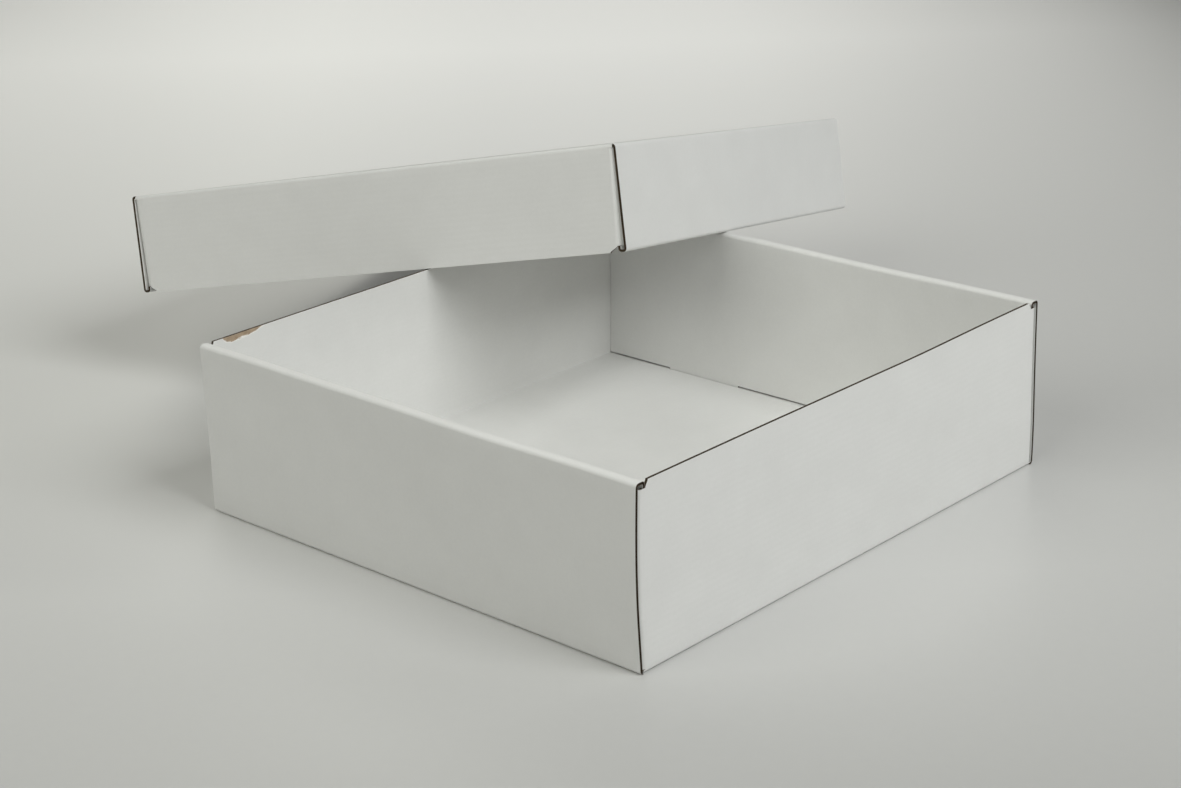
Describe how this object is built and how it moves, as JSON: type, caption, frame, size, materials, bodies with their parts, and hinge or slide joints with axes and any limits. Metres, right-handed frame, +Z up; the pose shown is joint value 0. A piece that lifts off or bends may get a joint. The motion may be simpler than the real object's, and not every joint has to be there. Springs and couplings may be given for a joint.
{
  "type": "two-piece box",
  "caption": "Open square tray of folded corrugated board with rolled rims, and its separate shallow lid leaning on its back corner.",
  "frame": {"origin": "centre of the tray's underside, on the surface that it stands on", "axes": "+Z up out of the open tray; X across the tray's two rolled walls, which stand at -X and +X; Y across its two single walls; the lid leans on the +X +Y corner"},
  "size_m": [0.4921, 0.574, 0.1732],
  "materials": {
    "tray_board": "matt white-lined corrugated board with brown cut edges",
    "lid_board": "matt white-lined corrugated board with brown cut edges"
  },
  "bodies": {
    "root": {"tray": "tray_board", "lid": "lid_board"}
  },
  "joints": []
}
